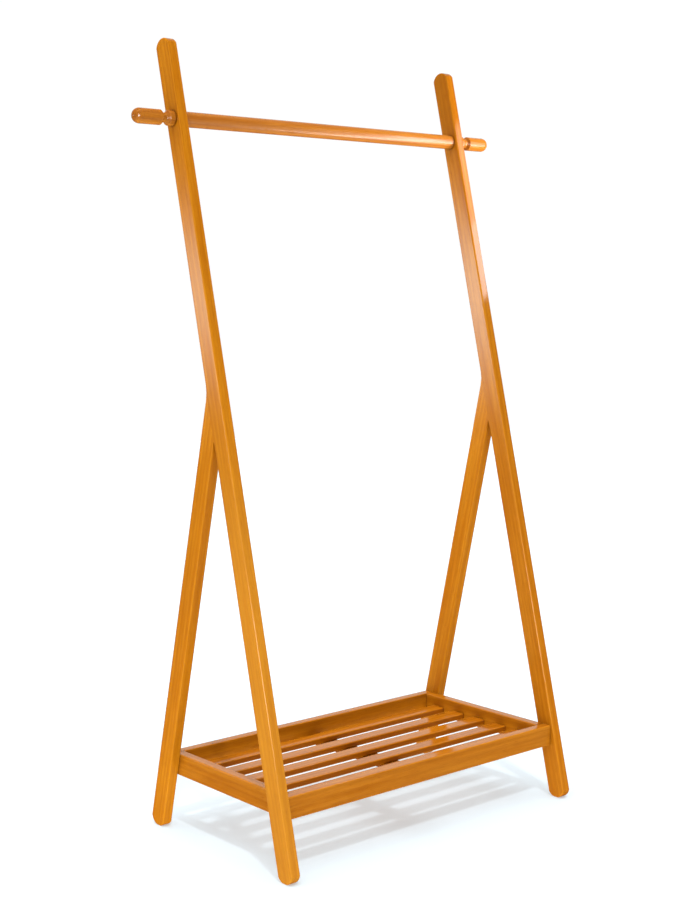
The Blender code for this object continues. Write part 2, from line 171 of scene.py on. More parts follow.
# Hardware
BEECH = (0.640, 0.420, 0.220)
BEECH_FLECK = (0.330, 0.180, 0.080)
BEECH_ROUGHNESS = 0.6
FLECKS = (900.0, 2.0)
FLECK_STOPS = ((0.55, 0.0), (0.70, 0.6))
FLECK_RELIEF = (0.3, 0.0002)
ZINC = ((0.62, 0.62, 0.60), (0.44, 0.45, 0.46), 0.30)
BRASS = ((0.70, 0.50, 0.20), (0.52, 0.35, 0.12), 0.32)
CLOUDS = (260.0, 3.0)
CLOUD_STOPS = ((0.35, 0.0), (0.70, 0.8))
SCRATCHES = (2600.0, 2.0)
SCRATCH_RELIEF = (0.15, 0.00005)

# Floor
FLOOR_SIZE = 14.0
FLOOR_COLOUR = (0.345, 0.42, 0.465, 1.0)
FLOOR_ROUGHNESS = 0.9
FLOOR_SEEN = 0.40                    # its own light, as the camera sees it
FLOOR_REACH = (2.0, 5.0)
FLOOR_BOUNCE = (1.65, 0.30)          # its own light on the pieces, near and far
WHITE = (1.0, 1.0, 1.0)

# Studio: a glow is where it comes from, from which closeness to there it eases in, and its strength
FILL_GLOWS = (
    ((-1.0, 0.0, 0.0), (-0.2, 0.7), (0.16, 0.92)),
    ((0.0, 1.0, 0.0), (-0.2, 0.7), (0.0, 0.40)),
    ((0.0, 0.0, 1.0), (0.70, 1.0), (0.0, 4.00)),
)
WALL_GLOW = ((0.65, 0.76, 0.0), (0.30, 0.90), (0.04, 0.76))
WALL_FOOT = ((-0.05, 0.05), (0.1, 1.0))
BAND_GLOW = ((-0.80, 0.60, 0.0), (0.90, 1.0), (0.0, 6.0))
BAND_EDGE = ((0.0, 0.085), (1.0, 0.0))
MIRROR_TINT = (0.88, 1.00, 0.95)
BACKDROP = 1.02

# Lamps
KEY_POWER = 1.30
KEY_SPREAD = math.radians(3.5)
KEY_DIRECTION = (0.25, 0.52, -1.0)
GLOW_POWER = 60.0
GLOW_CONE = math.radians(66)
GLOW_SOFTNESS = 0.12
GLOW_PLACE = (0.95, -0.46, 1.30)
GLOW_DIRECTION = (-0.57, 0.56, 0.24)
SHINES = (                           # name, place, target, width, height, power
    ("peg_spots", (-2.30, -2.60, 1.25), (0.0, 0.1, 1.2), 1.5, 1.5, 82.0),
    ("low_edges", (-2.20, -2.50, 0.75), (-0.4, -0.1, 0.4), 1.5, 0.6, 28.0),
    ("post_shine", (0.73, -0.22, 1.34), (0.0, -0.22, 1.34), 0.20, 0.19, 0.88),
    ("post_glimmer", (0.73, -0.22, 1.55), (0.0, -0.22, 1.55), 0.20, 0.28, 0.48),
    ("rail_shine", (0.73, -0.375, 1.15), (0.0, -0.375, 1.15), 0.19, 1.00, 11.0),
    ("peg_shine", (0.73, -0.165, 1.40), (0.0, -0.165, 1.40), 0.07, 0.45, 2.20),
)

SIDES = ((-1, "left"), (1, "right"))
ENDS = ((-1, "front"), (1, "back"))


# ---------------------------------------------------------------- nodes

def new_material(name):
    material = bpy.data.materials.new(name)
    material.use_nodes = True
    nodes = material.node_tree.nodes
    return material, nodes, material.node_tree.links, nodes["Principled BSDF"]


def add(nodes, kind, **values):
    """A shader node, with its properties and its input sockets set by name."""
    node = nodes.new("ShaderNode" + kind)
    for key, value in values.items():
        if hasattr(node, key):
            setattr(node, key, value)
        else:
            node.inputs[key.replace("_", " ")].default_value = value
    return node


def feed(links, sockets, values):
    """Give each input socket its value: another socket, a colour, a vector or a number."""
    for socket, value in zip(sockets, values):
        if isinstance(value, bpy.types.NodeSocket):
            links.new(value, socket)
        elif socket.type == "RGBA":
            socket.default_value = (*value, 1.0)
        else:
            socket.default_value = value


def ramp(nodes, links, source, stops):
    node = add(nodes, "ValToRGB")
    elements = node.color_ramp.elements
    while len(elements) < len(stops):
        elements.new(0.5)
    for element, (position, value) in zip(elements, stops):
        element.position = position
        element.color = (value, value, value, 1.0)
    links.new(source, node.inputs["Fac"])
    return node.outputs["Color"]


def spread(nodes, links, source, sources, results):
    """Ease a number from one range into another."""
    node = add(nodes, "MapRange", interpolation_type="SMOOTHSTEP")
    names = ("From Min", "From Max", "To Min", "To Max")
    for name, value in zip(names, (*sources, *results)):
        node.inputs[name].default_value = value
    links.new(source, node.inputs["Value"])
    return node.outputs["Result"]


def blend(nodes, links, factor, first, second):
    """Mix two colours."""
    node = add(nodes, "Mix", data_type="RGBA")
    feed(links, (node.inputs["Factor"], node.inputs[6], node.inputs[7]), (factor, first, second))
    return node.outputs[2]


def number_mix(nodes, links, factor, first, second):
    node = add(nodes, "Mix", data_type="FLOAT")
    feed(links, (node.inputs["Factor"], node.inputs[2], node.inputs[3]), (factor, first, second))
    return node.outputs[0]


def arithmetic(nodes, links, operation, first, second):
    node = add(nodes, "Math", operation=operation)
    feed(links, node.inputs, (first, second))
    return node.outputs[0]


def vector_math(nodes, links, operation, first, second, result="Value"):
    node = add(nodes, "VectorMath", operation=operation)
    feed(links, node.inputs, (first, second))
    return node.outputs[result]


def local_place(nodes):
    return add(nodes, "TexCoord").outputs["Object"]


def local_height(nodes, links):
    split = add(nodes, "SeparateXYZ")
    links.new(local_place(nodes), split.inputs["Vector"])
    return split.outputs["Z"]


def grain_space(nodes, links, offset, squeeze, lean=0.0):
    """Local coordinates, turned so that Z follows the grain and then squeezed along it."""
    mapping = add(nodes, "Mapping", vector_type="TEXTURE")
    mapping.inputs["Location"].default_value = offset
    mapping.inputs["Rotation"].default_value = (lean, 0.0, 0.0)
    mapping.inputs["Scale"].default_value = (1.0, 1.0, 1.0 / squeeze)
    links.new(local_place(nodes), mapping.inputs["Vector"])
    return mapping.outputs["Vector"]


def noise(nodes, links, space, scale, detail=2.0, rough=0.5):
    node = add(nodes, "TexNoise", Scale=scale, Detail=detail, Roughness=rough)
    links.new(space, node.inputs["Vector"])
    return node.outputs["Fac"]


def raise_surface(nodes, links, height, relief, target):
    """Bump a shader's normal socket by a height pattern."""
    strength, distance = relief
    node = add(nodes, "Bump", Strength=strength, Distance=distance)
    links.new(height, node.inputs["Height"])
    links.new(node.outputs["Normal"], target)


# ---------------------------------------------------------------- painted shade and reflection on wood

def ends_shade(middle, reach):
    """Painted shade at a joint: darker at the two ends this far from a middle on local Z."""
    def shade(nodes, links):
        offset = arithmetic(nodes, links, "SUBTRACT", local_height(nodes, links), middle)
        offset = arithmetic(nodes, links, "ABSOLUTE", offset, 0.0)
        return spread(nodes, links, offset, (reach - JOINT_SHADE_REACH, reach), (0.0, JOINT_SHADE_DEPTH))
    return shade


def ring_shade(centre, radius):
    """Painted shade at a joint: darker in a ring about an axis along local X."""
    def shade(nodes, links):
        flat = vector_math(nodes, links, "MULTIPLY", local_place(nodes), (0.0, 1.0, 1.0), "Vector")
        distance = vector_math(nodes, links, "DISTANCE", flat, (0.0, *centre))
        return spread(nodes, links, distance, (radius, radius + JOINT_SHADE_REACH), (JOINT_SHADE_DEPTH, 0.0))
    return shade


def height_shade(heights, depths):
    """Eased from one depth to another between two heights on local Z."""
    def shade(nodes, links):
        return spread(nodes, links, local_height(nodes, links), heights, depths)
    return shade


def slope_shade(up):
    """Painted shade: darker on the faces that don't look up or down. Up is a direction in local
    space.
    """
    def shade(nodes, links):
        normal = add(nodes, "TexCoord").outputs["Normal"]
        level = vector_math(nodes, links, "DOT_PRODUCT", normal, up)
        level = arithmetic(nodes, links, "ABSOLUTE", level, 0.0)
        return spread(nodes, links, level, SIDE_SHADE_SLOPES, SIDE_SHADE_DEPTHS)
    return shade


def deeper_of(first, second):
    """At each point, the deeper of two shades."""
    def shade(nodes, links):
        return arithmetic(nodes, links, "MAXIMUM", first(nodes, links), second(nodes, links))
    return shade


# ---------------------------------------------------------------- materials

def wood(name, tones, seed, sheen=BOARD_SHEEN, lean=0.0, floor_reflection=None, joint_shade=None, sides=None):
    """Stained, lacquered wood. Its grain runs along local Z, or at a lean about local X to it."""
    material, nodes, links, shader = new_material(name)
    dark, middle, pale = tones
    offset = tuple(seed * step for step in SEED_STEP)
    along = grain_space(nodes, links, offset, GRAIN_SQUEEZE, lean)
    wide = grain_space(nodes, links, offset, BLOTCH_SQUEEZE, lean)

    rings = add(nodes, "TexWave", wave_type="RINGS", rings_direction="Z", wave_profile="SAW",
                Scale=34.0, Distortion=5.0, Detail=3.0, Detail_Scale=1.2, Detail_Roughness=0.6)
    links.new(along, rings.inputs["Vector"])
    streaks = noise(nodes, links, along, *STREAKS)
    fibres = noise(nodes, links, along, *FIBRES)
    pores = noise(nodes, links, along, *PORES)
    blotches = noise(nodes, links, wide, *BLOTCHES)
    tone = blend(nodes, links, ramp(nodes, links, streaks, STREAK_STOPS), middle, pale)
    for pattern, stops in ((rings.outputs["Fac"], RING_STOPS), (blotches, BLOTCH_STOPS),
                           (fibres, FIBRE_STOPS), (pores, PORE_STOPS)):
        tone = blend(nodes, links, ramp(nodes, links, pattern, stops), tone, dark)

    # End grain drinks more stain, and sanded edges keep less of it.
    normal = add(nodes, "TexCoord").outputs["Normal"]
    grain = (0.0, -math.sin(lean), math.cos(lean))
    facing = vector_math(nodes, links, "DOT_PRODUCT", normal, grain)
    facing = arithmetic(nodes, links, "ABSOLUTE", facing, 0.0)
    tone = blend(nodes, links, ramp(nodes, links, facing, END_GRAIN_STOPS), tone, dark)
    edge = add(nodes, "Attribute", attribute_name="edge").outputs["Fac"]
    tone = blend(nodes, links, ramp(nodes, links, edge, RUBBED_STOPS), tone, pale)

    # Painted shade at the joints and on the sides, and a painted reflection low on the left post,
    # blended over the stain.
    joint_shade_tone = tuple(JOINT_SHADE_TONE * part for part in dark)
    for shade, colour in ((floor_reflection, FLOOR_REFLECTION_TONE), (joint_shade, joint_shade_tone), (sides, dark)):
        if shade:
            tone = blend(nodes, links, shade(nodes, links), tone, colour)
    links.new(tone, shader.inputs["Base Color"])

    links.new(ramp(nodes, links, fibres, WOOD_ROUGHNESS), shader.inputs["Roughness"])
    raise_surface(nodes, links, fibres, FIBRE_RELIEF, shader.inputs["Normal"])
    waves = noise(nodes, links, wide, *LACQUER_WAVES)
    raise_surface(nodes, links, waves, LACQUER_RELIEF, shader.inputs["Coat Normal"])
    shader.inputs["Specular IOR Level"].default_value = 0.0
    shader.inputs["Coat Weight"].default_value = 1.0
    shader.inputs["Coat Roughness"].default_value = sheen
    shader.inputs["Coat IOR"].default_value = LACQUER_IOR
    return material


def bare_wood(name):
    """Pale unstained beech of the dowels, with its short dark flecks."""
    material, nodes, links, shader = new_material(name)
    flecks = noise(nodes, links, local_place(nodes), *FLECKS)
    tone = blend(nodes, links, ramp(nodes, links, flecks, FLECK_STOPS), BEECH, BEECH_FLECK)
    links.new(tone, shader.inputs["Base Color"])
    shader.inputs["Roughness"].default_value = BEECH_ROUGHNESS
    raise_surface(nodes, links, flecks, FLECK_RELIEF, shader.inputs["Normal"])
    return material


def plated_metal(name, colour, dull, rough):
    """Metal with a faintly cloudy plating and fine scratches."""
    material, nodes, links, shader = new_material(name)
    place = local_place(nodes)
    clouds = noise(nodes, links, place, *CLOUDS)
    scratches = noise(nodes, links, place, *SCRATCHES)
    tone = blend(nodes, links, ramp(nodes, links, clouds, CLOUD_STOPS), colour, dull)
    links.new(tone, shader.inputs["Base Color"])
    shader.inputs["Metallic"].default_value = 1.0
    roughness = ramp(nodes, links, clouds, ((0.2, rough * 0.7), (0.8, rough * 1.3)))
    links.new(roughness, shader.inputs["Roughness"])
    raise_surface(nodes, links, scratches, SCRATCH_RELIEF, shader.inputs["Normal"])
    return material


# ---------------------------------------------------------------- shapes

def to_piece(name, shape, place):
    """Turn a bmesh, in the piece's own space, into an object placed by a matrix."""
    bmesh.ops.remove_doubles(shape, verts=shape.verts, dist=SAME_POINT)
    bmesh.ops.recalc_face_normals(shape, faces=shape.faces)
    mesh = bpy.data.meshes.new(name)
    shape.to_mesh(mesh)
    shape.free()
    mesh.shade_smooth()
    mesh.set_sharp_from_angle(angle=SHARP_ANGLE)
    if "crisp" in mesh.attributes:
        for edge, mark in zip(mesh.edges, mesh.attributes["crisp"].data):
            if mark.value:
                edge.use_edge_sharp = True
    piece = bpy.data.objects.new(name, mesh)
    bpy.context.collection.objects.link(piece)
    piece.matrix_world = place
    smooth = piece.modifiers.new("flat faces stay flat", "WEIGHTED_NORMAL")
    smooth.keep_sharp = True
    return piece


def dress(piece, node, material, body="rack"):
    """Put the piece in its CAD node's stead."""
    piece.data.materials.append(material)
    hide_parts(node)
    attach(piece, body)
    return piece


def corner_insets(outline):
    """For each corner of an outline, how it moves when all its sides move in by one."""
    insets = []
    for index, (x, z, _) in enumerate(outline):
        here = Vector((x, z))
        before = Vector(outline[index - 1][:2])
        after = Vector(outline[(index + 1) % len(outline)][:2])
        into = (here - before).normalized()
        out = (after - here).normalized()
        first = Vector((-into.y, into.x))
        second = Vector((-out.y, out.x))
        middle = (first + second).normalized()
        insets.append(middle / max(middle.dot(first), MITRE_LIMIT))
    return insets


def close_around_hole(shape, rows, hole):
    """Fill a bar's two flat faces around a hole, and line the hole. It is (x, z, radius)."""
    centre_x, centre_z, radius = hole
    rims = []
    for row in (rows[0], rows[-1]):
        rim = []
        for step in range(HOLE_STEPS):
            angle = 2 * math.pi * step / HOLE_STEPS
            rim.append(shape.verts.new((centre_x + radius * math.cos(angle), row[0].co.y,
                                        centre_z + radius * math.sin(angle))))
        edges = [shape.edges.get((row[index - 1], row[index])) for index in range(len(row))]
        edges += [shape.edges.new((rim[index - 1], rim[index])) for index in range(HOLE_STEPS)]
        bmesh.ops.triangle_fill(shape, use_beauty=True, edges=edges)
        rims.append(rim)
    for index in range(HOLE_STEPS):
        shape.faces.new((rims[0][index - 1], rims[0][index], rims[1][index], rims[1][index - 1]))


def rounded_bar(outline, thickness, hole=None):
    """A board on edge. Its outline is (x, z, edge rounding) in its own XZ plane, and Y is across.

    A vertex's edge value is how much it belongs to a rounded edge. An edge that ends where the
    rounding has died out is marked crisp, so that the flat faces there stay flat.
    """
    count = len(outline)
    insets = corner_insets(outline)
    angles = [math.pi / 2 * step / ROUND_STEPS for step in range(ROUND_STEPS + 1)]
    rings = [(-1, angle) for angle in reversed(angles)] + [(1, angle) for angle in angles]
    shape = bmesh.new()
    mark = shape.verts.layers.float.new("edge")
    rows = []
    for face, angle in rings:
        row = []
        for (x, z, rounding), inset in zip(outline, insets):
            move = inset * rounding * (1 - math.cos(angle))
            across = thickness / 2 - rounding * (1 - math.sin(angle))
            vertex = shape.verts.new((x + move.x, face * across, z + move.y))
            vertex[mark] = math.sin(2 * angle) * rounding / EDGE_ROUND
            row.append(vertex)
        rows.append(row)
    for low, high in zip(rows, rows[1:]):
        for index in range(count):
            after = (index + 1) % count
            shape.faces.new((low[index], low[after], high[after], high[index]))
    crisp = shape.edges.layers.int.new("crisp")
    for row in (rows[0], rows[ROUND_STEPS], rows[ROUND_STEPS + 1], rows[-1]):
        for index in range(count):
            after = (index + 1) % count
            if 0 in (outline[index][2], outline[after][2]):
                shape.edges.get((row[index], row[after]))[crisp] = 1
    if hole:
        close_around_hole(shape, rows, hole)
    else:
        shape.faces.new(rows[0])
        shape.faces.new(rows[-1])
    return shape


def rounded_board(size, rounding):
    """A board along local Z whose long edges are rounded."""
    width, depth, length = size
    shape = bmesh.new()
    mark = shape.verts.layers.float.new("edge")
    rings = []
    for end in (-1, 1):
        ring = []
        for corner in range(4):
            turn = math.pi / 2 * corner
            sign_x = 1 if corner in (0, 3) else -1
            sign_y = 1 if corner in (0, 1) else -1
            for step in range(ROUND_STEPS + 1):
                angle = math.pi / 2 * step / ROUND_STEPS
                x = sign_x * (width / 2 - rounding) + rounding * math.cos(turn + angle)
                y = sign_y * (depth / 2 - rounding) + rounding * math.sin(turn + angle)
                vertex = shape.verts.new((x, y, end * length / 2))
                vertex[mark] = math.sin(2 * angle)
                ring.append(vertex)
        rings.append(ring)
    low, high = rings
    for index in range(len(low)):
        after = (index + 1) % len(low)
        shape.faces.new((low[index], low[after], high[after], high[index]))
    shape.faces.new(low)
    shape.faces.new(high)
    return shape


def turned_shape(profile, steps=TURNED_STEPS):
    """Spin a profile of (distance along Z, radius) about the Z axis."""
    shape = bmesh.new()
    shape.verts.layers.float.new("edge")
    points = [shape.verts.new((radius, 0, along)) for along, radius in profile]
    for first, second in zip(points, points[1:]):
        shape.edges.new((first, second))
    bmesh.ops.spin(shape, geom=shape.verts[:] + shape.edges[:], cent=(0, 0, 0), axis=(0, 0, 1),
                   angle=2 * math.pi, steps=steps, use_merge=True)
    return shape


def corners_of(node):
    return (Vector(corner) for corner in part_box(node))


def centre_of(node):
    """The middle and the size of a CAD node's box."""
    low, high = corners_of(node)
    return (low + high) / 2, high - low


def grain_along(axis, place):
    """A matrix that turns local Z along the axis and local X as level as it can be."""
    turn = Vector(axis).to_track_quat("Z", "X").to_matrix().to_4x4()
    return Matrix.Translation(place) @ turn


# ---------------------------------------------------------------- side frames

def lean_over(shape, lean):
    """Turn a bar drawn upright in its XZ plane into the rack's YZ plane, leaning."""
    level = Matrix(((0, -1, 0, 0), (1, 0, 0, 0), (0, 0, 1, 0), (0, 0, 0, 1)))
    bmesh.ops.transform(shape, matrix=Matrix.Rotation(lean, 4, "X") @ level, verts=shape.verts)
    return shape


def arc(height, start, end, upwards, steps=END_STEPS):
    """Points of a rounded end in the bar's own plane. Angles are measured from its long axis."""
    points = []
    for step in range(steps + 1):
        angle = start + (end - start) * step / steps
        rise = math.cos(angle) if upwards else -math.cos(angle)
        points.append((END_ROUND * math.sin(angle), height + END_ROUND * rise, EDGE_ROUND))
    return points


def joint_end(offset):
    """Distances up the post and up the leg at which a line of the leg meets the post's back face."""
    angle = POST_LEAN + LEG_LEAN
    gap = FOOT_SPREAD * math.cos(POST_LEAN) + offset * math.cos(angle) - HALF_DEPTH
    up_leg = gap / math.sin(angle)
    rise = FOOT_SPREAD * math.sin(POST_LEAN) + offset * math.sin(angle)
    return rise + up_leg * math.cos(angle), up_leg


def make_post(side, name):
    low, high = corners_of(f"{name}_post")
    length = (high.z - END_ROUND - FOOT_RISE) / math.cos(POST_LEAN)
    crotch = joint_end(-HALF_DEPTH)[0]
    kink = joint_end(HALF_DEPTH)[0]
    outline = arc(0, -END_ANGLE, POST_LEAN - LAND_ANGLE, False)
    outline += arc(0, POST_LEAN + LAND_ANGLE, END_ANGLE, False, END_STEPS // 2)
    for height, rounding in ((crotch - ROUND_FADE, EDGE_ROUND), (crotch, 0), (kink, 0),
                             (kink + ROUND_FADE / 2, EDGE_ROUND)):
        outline.append((HALF_DEPTH, height, rounding))
    outline += arc(length, END_ANGLE, -END_ANGLE, True)
    rail, _ = centre_of("hanging_rail")
    back, up = rail.y + FOOT_SPREAD / 2, rail.z - FOOT_RISE
    hole = (back * math.cos(POST_LEAN) - up * math.sin(POST_LEAN),
            back * math.sin(POST_LEAN) + up * math.cos(POST_LEAN), STUD_RADIUS + RUNNING_GAP)
    shape = lean_over(rounded_bar(outline, high.x - low.x, hole), -POST_LEAN)
    place = Matrix.Translation(((low.x + high.x) / 2, -FOOT_SPREAD / 2, FOOT_RISE))
    post = to_piece(f"{name}_post_wood", shape, place)

    # A painted reflection makes the left post paler low down, and painted shade makes the right one
    # darker all over and more so at the top. Both get painted shade in a ring where the rail meets
    # them.
    joint_shade = ring_shade((back, up), RAIL_RADIUS)
    if side < 0:
        tones, floor_reflection = HONEY, height_shade(FLOOR_REFLECTION_HEIGHTS, FLOOR_REFLECTION_DEPTHS)
    else:
        tones, floor_reflection = SHADED_HONEY, None
        joint_shade = deeper_of(joint_shade, height_shade(TOP_SHADE_HEIGHTS, TOP_SHADE_DEPTHS))
    material = wood(f"{name}_post_honey", tones, POST_SEED + side, lean=-POST_LEAN,
                    floor_reflection=floor_reflection, joint_shade=joint_shade)
    return dress(post, f"{name}_post", material)


def make_leg(side, name):
    low, high = corners_of(f"{name}_back_leg")
    crotch = joint_end(-HALF_DEPTH)[1]
    kink = joint_end(HALF_DEPTH)[1]
    press = SEAM / math.sin(POST_LEAN + LEG_LEAN)
    outline = arc(0, -END_ANGLE, -LEG_LEAN - LAND_ANGLE, False, END_STEPS // 2)
    outline += arc(0, LAND_ANGLE - LEG_LEAN, END_ANGLE, False)
    outline.append((HALF_DEPTH, kink - ROUND_FADE / 2, EDGE_ROUND))
    outline.append((HALF_DEPTH, kink + press, 0))
    outline.append((-HALF_DEPTH, crotch + press, 0))
    outline.append((-HALF_DEPTH, crotch - ROUND_FADE, EDGE_ROUND))
    shape = lean_over(rounded_bar(outline, high.x - low.x), LEG_LEAN)
    place = Matrix.Translation(((low.x + high.x) / 2, FOOT_SPREAD / 2, FOOT_RISE))
    leg = to_piece(f"{name}_back_leg_wood", shape, place)
    material = wood(f"{name}_leg_honey", HONEY, LEG_SEED + side, lean=LEG_LEAN)
    return dress(leg, f"{name}_back_leg", material)


# ---------------------------------------------------------------- rail and pegs

def make_hanging_rail():
    middle, size = centre_of("hanging_rail")
    half = size.x / 2
    bore = INSERT_RADIUS + RUNNING_GAP
    inner = half - INSERT_BORE_DEPTH
    profile = [(-inner, 0), (-inner, bore), (-half, bore), (-half, RAIL_RADIUS),
               (half, RAIL_RADIUS), (half, bore), (inner, bore), (inner, 0)]
    piece = to_piece("hanging_rail_wood", turned_shape(profile), grain_along((1, 0, 0), middle))
    # Painted shade where the rail meets the posts.
    material = wood("rail_honey", TURNED, RAIL_SEED, TURNED_SHEEN, joint_shade=ends_shade(0.0, half))
    return dress(piece, "hanging_rail", material)


def peg_profile():
    """Bead, neck, shoulder, cylinder and dome, with the stud's bore and the washer's recess."""
    bore = STUD_RADIUS + RUNNING_GAP
    recess = WASHER_RADIUS + RUNNING_GAP
    profile = [(STUD_BORE_DEPTH, 0), (STUD_BORE_DEPTH, bore), (WASHER_RECESS, bore),
               (WASHER_RECESS, recess), (0, recess)]
    for step in range(CURVE_STEPS // 2 + 1):
        angle = math.pi / 2 * step / (CURVE_STEPS // 2)
        profile.append((BEAD_CREST * (1 - math.cos(angle)),
                        PEG_RADIUS - BEAD_LIP * (1 - math.sin(angle))))
    turns = [FLANK_SLOPE * step / (CURVE_STEPS // 2) for step in range(CURVE_STEPS // 2 + 1)]
    for turn in turns:
        profile.append((BEAD_LENGTH + BEAD_TURN * math.sin(turn),
                        PEG_RADIUS - BEAD_TURN * (1 - math.cos(turn))))
    edge, high = profile[-1]
    foot = NECK_RADIUS + COVE_RADIUS * (1 - math.cos(FLANK_SLOPE))
    neck_start = edge + (high - foot) / math.tan(FLANK_SLOPE) + COVE_RADIUS * math.sin(FLANK_SLOPE)
    for turn in reversed(turns):
        profile.append((neck_start - COVE_RADIUS * math.sin(turn),
                        NECK_RADIUS + COVE_RADIUS * (1 - math.cos(turn))))
    rise = PEG_RADIUS - NECK_RADIUS
    for step in range(CURVE_STEPS + 1):
        share = step / CURVE_STEPS
        eased = share * share * (3 - 2 * share)
        profile.append((NECK_END + (SHOULDER_END - NECK_END) * share, NECK_RADIUS + rise * eased))
    dome_start = PEG_LENGTH - PEG_RADIUS
    for step in range(CURVE_STEPS + 1):
        angle = math.pi / 2 * step / CURVE_STEPS
        radius = PEG_RADIUS * math.cos(angle) if step < CURVE_STEPS else 0
        profile.append((dome_start + PEG_RADIUS * math.sin(angle), radius))
    return profile


def make_peg(side, name):
    low, high = corners_of(f"{name}_peg")
    middle = (low + high) / 2
    face = low.x if side > 0 else high.x
    place = grain_along((side, 0, 0), (face, middle.y, middle.z))
    peg = to_piece(f"{name}_peg_wood", turned_shape(peg_profile()), place)
    # Painted shade where the peg meets its post.
    joint_shade = ends_shade(2 * PEG_LENGTH, 2 * PEG_LENGTH)
    material = wood(f"{name}_peg_honey", TURNED, PEG_SEED + side, PEG_SHEEN, joint_shade=joint_shade)
    return dress(peg, f"{name}_peg", material, f"{name}_peg_body")


def make_stud(side, name, material):
    """The stud with its real thread, which shows when the peg is unscrewed."""
    middle, size = centre_of(f"{name}_peg_stud")
    length = size.x
    rows = round(length / THREAD_PITCH * STEPS_PER_TURN)
    shape = bmesh.new()
    rings = []
    for row in range(rows + 1):
        along = length * row / rows
        limit = STUD_RADIUS - max(STUD_CHAMFER - min(along, length - along), 0)
        ring = []
        for step in range(THREAD_STEPS):
            turn = step / THREAD_STEPS
            phase = (along / THREAD_PITCH - turn) % 1.0
            radius = STUD_RADIUS - THREAD_DEPTH * (1 - abs(2 * phase - 1))
            radius = min(radius, limit)
            angle = 2 * math.pi * turn
            ring.append(shape.verts.new((radius * math.cos(angle), radius * math.sin(angle),
                                         along - length / 2)))
        rings.append(ring)
    for below, above in zip(rings, rings[1:]):
        for index in range(THREAD_STEPS):
            after = (index + 1) % THREAD_STEPS
            shape.faces.new((below[index], below[after], above[after], above[index]))
    shape.faces.new(rings[0])
    shape.faces.new(rings[-1])
    stud = to_piece(f"{name}_peg_stud_thread", shape, grain_along((side, 0, 0), middle))
    return dress(stud, f"{name}_peg_stud", material, f"{name}_peg_body")


# ---------------------------------------------------------------- tray

def make_board(node, axis, rounding, tones, seed, trim=0.0, shaded_sides=False):
    """A straight board with its grain along the axis, in its CAD node's place."""
    middle, size = centre_of(node)
    place = grain_along(axis, middle)
    to_local = place.to_3x3().inverted()
    width, depth, length = (abs(value) for value in to_local @ size)
    shape = rounded_board((width, depth, length - 2 * trim), rounding)
    piece = to_piece(f"{node}_wood", shape, place)
    # Painted shade on the sides of the slats and the brace, between them.
    sides = slope_shade(tuple(to_local @ Vector((0, 0, 1)))) if shaded_sides else None
    # Painted shade at the board's ends, where it meets the rails.
    joint_shade = ends_shade(0.0, length / 2 - trim)
    material = wood(f"{node}_honey", tones, seed, joint_shade=joint_shade, sides=sides)
    return dress(piece, node, material)


def make_tray():
    """The rails, and the slats and brace, which are cut at the rails' faces, without their tenons."""
    for axis, pairs, seed in (((1, 0, 0), ENDS, TRAY_SEED), ((0, 1, 0), SIDES, TRAY_END_SEED)):
        for index, (sign, name) in enumerate(pairs):
            # The front and left rails get the lighter copy of the amber: painted light.
            tones = LIT_AMBER if sign < 0 else AMBER
            make_board(f"tray_{name}_rail", axis, EDGE_ROUND, tones, seed + index)
    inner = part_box("tray_left_rail")[1][0]
    for index in range(SLATS):
        node = f"slat_{index + 1}"
        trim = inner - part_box(node)[0][0]
        make_board(node, (1, 0, 0), SLAT_ROUND, AMBER, SLAT_SEED + index, trim, True)
    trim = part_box("tray_front_rail")[1][1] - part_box("slat_brace")[0][1]
    make_board("slat_brace", (0, 1, 0), BRACE_ROUND, AMBER, BRACE_SEED, trim, True)


# ---------------------------------------------------------------- hardware

def finish_hardware():
    """Give the CAD nodes that stay a finish of their own, and the studs their thread."""
    beech = bare_wood("dowel_beech")
    zinc = plated_metal("zinc_plate", *ZINC)
    brass = plated_metal("insert_brass", *BRASS)
    finishes = {"dowel": beech, "insert": brass, "washer": zinc, "screw": zinc}
    for name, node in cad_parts.items():
        for word, material in finishes.items():
            if word in name:
                node.data.materials.clear()
                node.data.materials.append(material)
    for side, name in SIDES:
        make_stud(side, name, zinc)


# ---------------------------------------------------------------- studio

def make_floor():
    """Plain and pale. Its own light evens it out, and reflections pass through it."""
    shape = bmesh.new()
    bmesh.ops.create_grid(shape, x_segments=1, y_segments=1, size=FLOOR_SIZE / 2)
    mesh = bpy.data.meshes.new("floor")
    shape.to_mesh(mesh)
    shape.free()
    floor = bpy.data.objects.new("floor", mesh)
    bpy.context.collection.objects.link(floor)
    material, nodes, links, shader = new_material("pale_floor")
    shader.inputs["Base Color"].default_value = FLOOR_COLOUR
    shader.inputs["Roughness"].default_value = FLOOR_ROUGHNESS
    shader.inputs["Specular IOR Level"].default_value = 0.0
    shader.inputs["Emission Color"].default_value = (*WHITE, 1.0)
    distance = add(nodes, "VectorMath", operation="LENGTH")
    links.new(local_place(nodes), distance.inputs[0])
    bounce = spread(nodes, links, distance.outputs["Value"], FLOOR_REACH, FLOOR_BOUNCE)
    path = add(nodes, "LightPath")
    strength = number_mix(nodes, links, path.outputs["Is Camera Ray"], bounce, FLOOR_SEEN)
    links.new(strength, shader.inputs["Emission Strength"])
    clear = add(nodes, "BsdfTransparent")
    mixed = add(nodes, "MixShader")
    links.new(path.outputs["Is Glossy Ray"], mixed.inputs[0])
    links.new(shader.outputs["BSDF"], mixed.inputs[1])
    links.new(clear.outputs["BSDF"], mixed.inputs[2])
    links.new(mixed.outputs["Shader"], nodes["Material Output"].inputs["Surface"])
    material.cycles.emission_sampling = "NONE"
    mesh.materials.append(material)


